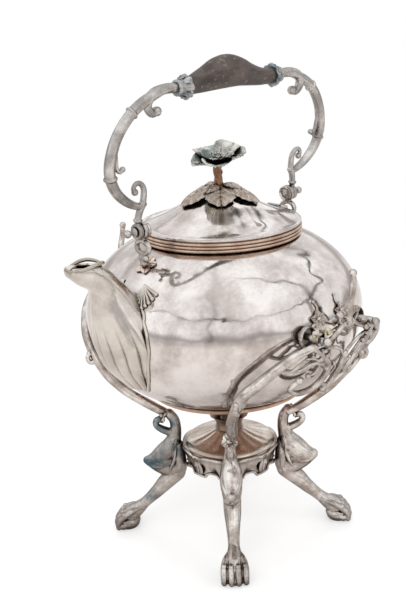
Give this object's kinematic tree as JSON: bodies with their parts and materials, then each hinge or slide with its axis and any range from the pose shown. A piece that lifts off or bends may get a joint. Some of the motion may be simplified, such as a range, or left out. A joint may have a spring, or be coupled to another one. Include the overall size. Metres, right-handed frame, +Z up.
{
  "type": "spirit kettle on stand",
  "caption": "Round kettle with lift-up lid, swinging bail and beak spout, tilting on trunnions in a claw-footed stand with a spirit burner.",
  "frame": {"origin": "centre of the stand on the plane its four paws stand on, under the kettle's vertical axis", "axes": "+Z up; the spout points to -X (front); the tilting axis runs along Y, left being -Y"},
  "size_m": [0.2667, 0.2638, 0.3925],
  "materials": {
    "kettle_silver": "silver plate, polished, with mottled grey-pink tarnish",
    "stand_silver": "silver plate on cast metal, dark in the crevices",
    "bail_silver": "silver plate on cast metal, worn",
    "burner_silver": "silver plate, dull",
    "gilt": "plate worn to warm gold",
    "copper": "plate worn to copper colour",
    "petal_tarnish": "silver plate with blue-green tarnish",
    "pin_steel": "plain",
    "grip_wood": "dark stained, speckled",
    "wick_cotton": "woven cotton, scorched at the top"
  },
  "bodies": {
    "stand": {"leg_front_left": "stand_silver", "leg_front_right": "stand_silver", "leg_rear_left": "stand_silver", "leg_rear_right": "stand_silver", "arm_front_left": "stand_silver", "arm_front_right": "stand_silver", "arm_rear_left": "stand_silver", "arm_rear_right": "stand_silver", "bracket_left": "stand_silver", "bracket_right": "stand_silver", "horn_left": "stand_silver", "horn_right": "stand_silver", "keeper_pin_left": "gilt", "keeper_pin_right": "gilt", "burner_ring": "stand_silver", "leaf_caps": "stand_silver"},
    "burner": {"font_bowl": "burner_silver", "font_dome": "burner_silver", "burner_neck": "burner_silver", "wick_tube": "burner_silver", "wick": "wick_cotton"},
    "kettle": {"kettle_body": "kettle_silver", "kettle_base": "copper", "base_moulding": "copper", "neck_band": "gilt", "spout": "kettle_silver", "mount_leaf_front": "kettle_silver", "mount_leaf_rear": "kettle_silver", "mount_loop_front": "kettle_silver", "mount_loop_rear": "kettle_silver", "bail_pin_front": "kettle_silver", "bail_pin_rear": "kettle_silver", "trunnion_flanges": "kettle_silver", "trunnion_studs": "kettle_silver", "trunnion_sprigs": "kettle_silver", "body_hinge_leaf": "kettle_silver", "hinge_pin": "pin_steel"},
    "lid": {"lid_shell": "kettle_silver", "lid_bezel": "kettle_silver", "lid_hinge_leaf": "kettle_silver", "finial_leaves": "kettle_silver", "finial_stem": "copper", "finial_flower": "petal_tarnish", "finial_nut": "petal_tarnish"},
    "bail": {"bail_arm_front": "bail_silver", "bail_arm_rear": "bail_silver", "collar_front": "bail_silver", "collar_rear": "bail_silver", "grip": "grip_wood", "grip_rod": "pin_steel"}
  },
  "joints": [
    {"name": "kettle_tilt", "type": "hinge", "parent": "stand", "child": "kettle", "pos_m": [-0.028, 0, 0.201], "axis": [0, -1, 0], "range_deg": [0, 32]},
    {"name": "lid_hinge", "type": "hinge", "parent": "kettle", "child": "lid", "pos_m": [0.0668, 0, 0.2638], "axis": [0, 1, 0], "range_deg": [0, 46]},
    {"name": "bail_swing", "type": "hinge", "parent": "kettle", "child": "bail", "pos_m": [0, 0, 0.273], "axis": [1, 0, 0], "range_deg": [-101.5, 82.5]},
    {"name": "burner_lift", "type": "slide", "parent": "stand", "child": "burner", "axis": [0, 0, 1], "range_m": [0, 0.018]}
  ]
}
